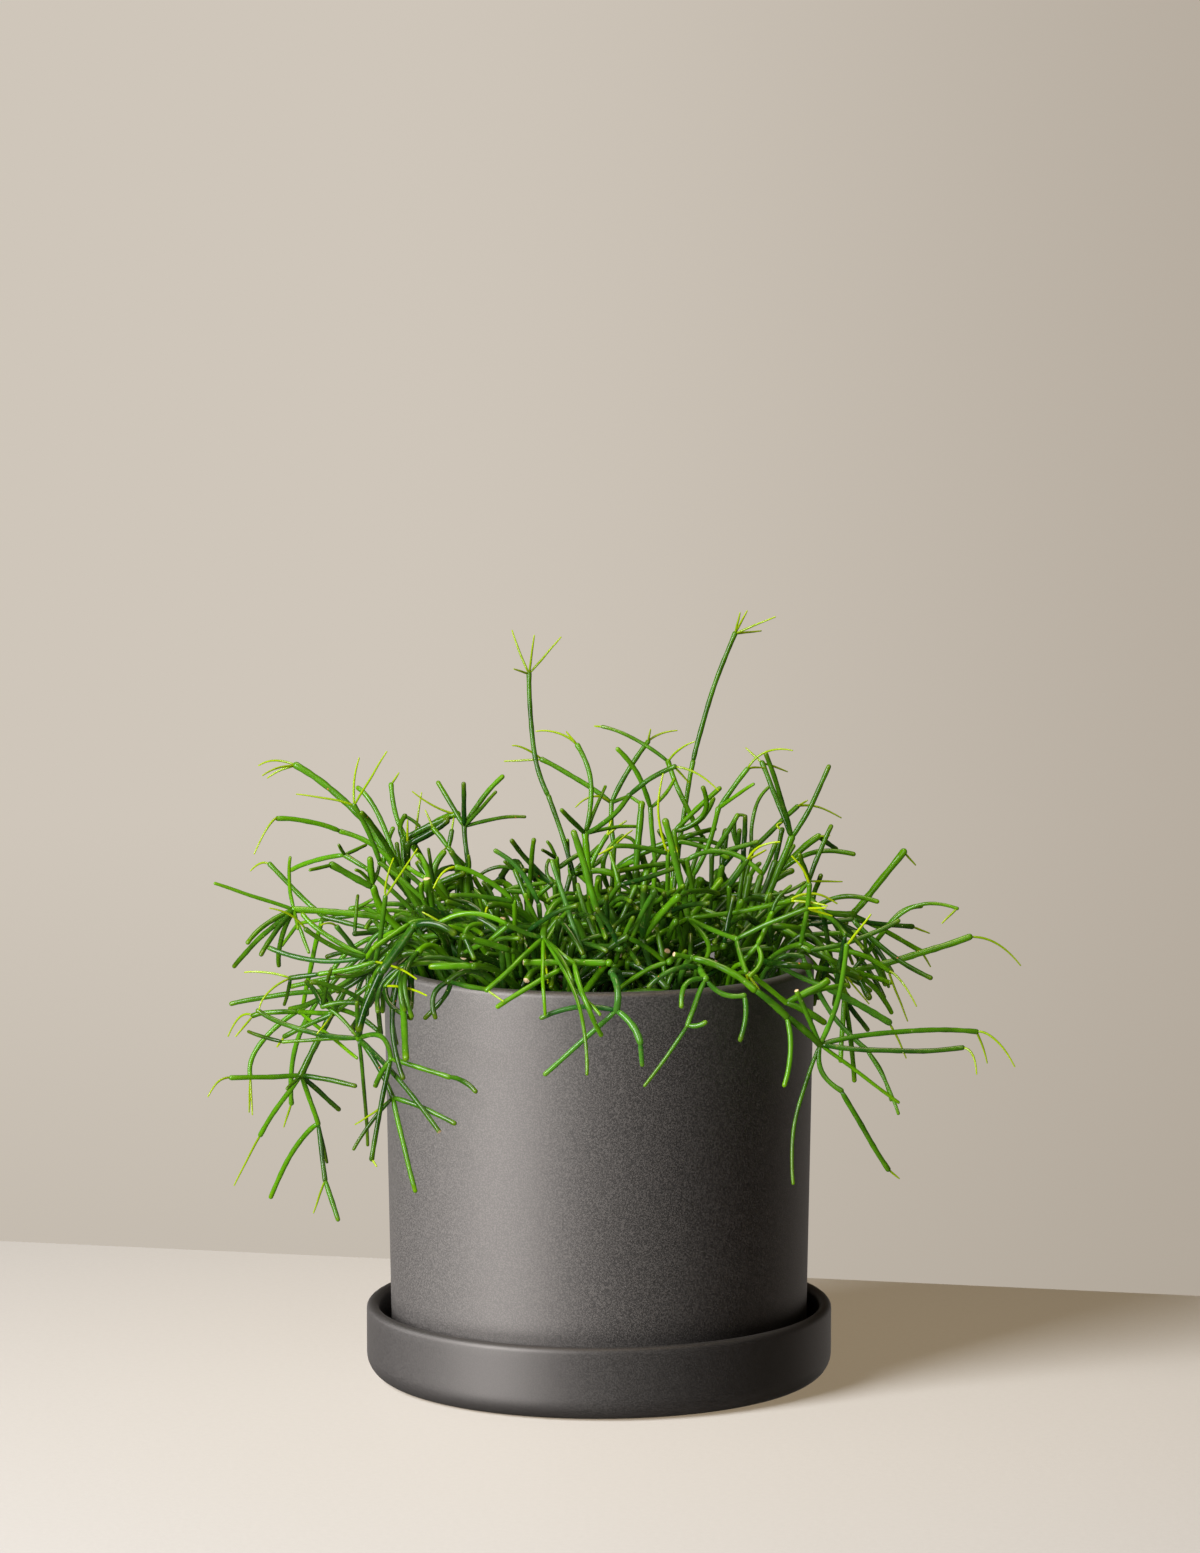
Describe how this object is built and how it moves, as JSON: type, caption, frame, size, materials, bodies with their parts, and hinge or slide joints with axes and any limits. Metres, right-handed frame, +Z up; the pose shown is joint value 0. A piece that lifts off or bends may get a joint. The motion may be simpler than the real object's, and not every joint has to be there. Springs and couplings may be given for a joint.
{
  "type": "potted mistletoe cactus",
  "caption": "Mistletoe cactus with a bushy crown of thin branching stems, in a matte cylindrical pot that stands in a shallow round saucer.",
  "frame": {"origin": "centre of the saucer's flat underside, on the surface it stands on", "axes": "+Z up, -Y towards the front, +X to the right seen from the front, along the plant's widest reach"},
  "size_m": [0.3268, 0.2419, 0.3042],
  "materials": {
    "saucer": "matte",
    "pot": "matte",
    "soil": "matte",
    "stems": "satin"
  },
  "bodies": {
    "root": {"saucer": "saucer", "pot": "pot", "soil": "soil", "stems_left_arch": "stems", "stems_left_whorl": "stems", "stems_left_reach": "stems", "stems_left_whorl_low": "stems", "stems_left_knee": "stems", "stems_left_drop": "stems", "stems_left_hub": "stems", "stems_left_tangle": "stems", "stems_left_cascade": "stems", "stems_left_bar": "stems", "stems_left_fringe": "stems", "stems_left_bow": "stems", "stems_left_curl": "stems", "stems_fountain": "stems", "stems_spill": "stems", "stems_fan": "stems", "stems_spotted": "stems", "stems_claw": "stems", "stems_teal": "stems", "stems_rim_right": "stems", "stems_crown": "stems", "stems_hook": "stems", "stems_knot": "stems", "stems_bow": "stems", "stems_elbow": "stems", "stems_tall_right": "stems", "stems_tall_left": "stems", "stems_star": "stems", "stems_fork": "stems", "stems_twin": "stems", "stems_mast": "stems", "stems_cross": "stems", "stems_right_hub": "stems", "stems_right_back": "stems", "stems_right_sail": "stems", "stems_right_wing": "stems", "stems_right_bar": "stems", "stems_right_light": "stems", "stems_right_reach": "stems", "stems_right_drop": "stems", "stems_right_arms": "stems", "stems_right_rim": "stems", "stems_right_teal": "stems", "stems_back_trail_1": "stems", "stems_back_trail_2": "stems", "stems_back_trail_3": "stems", "stems_back_trail_4": "stems", "stems_back_trail_5": "stems", "stems_back_trail_6": "stems", "stems_back_trail_7": "stems", "stems_back_dome_1": "stems", "stems_back_dome_2": "stems", "stems_back_dome_3": "stems", "stems_back_dome_4": "stems", "stems_back_dome_5": "stems"}
  },
  "joints": []
}
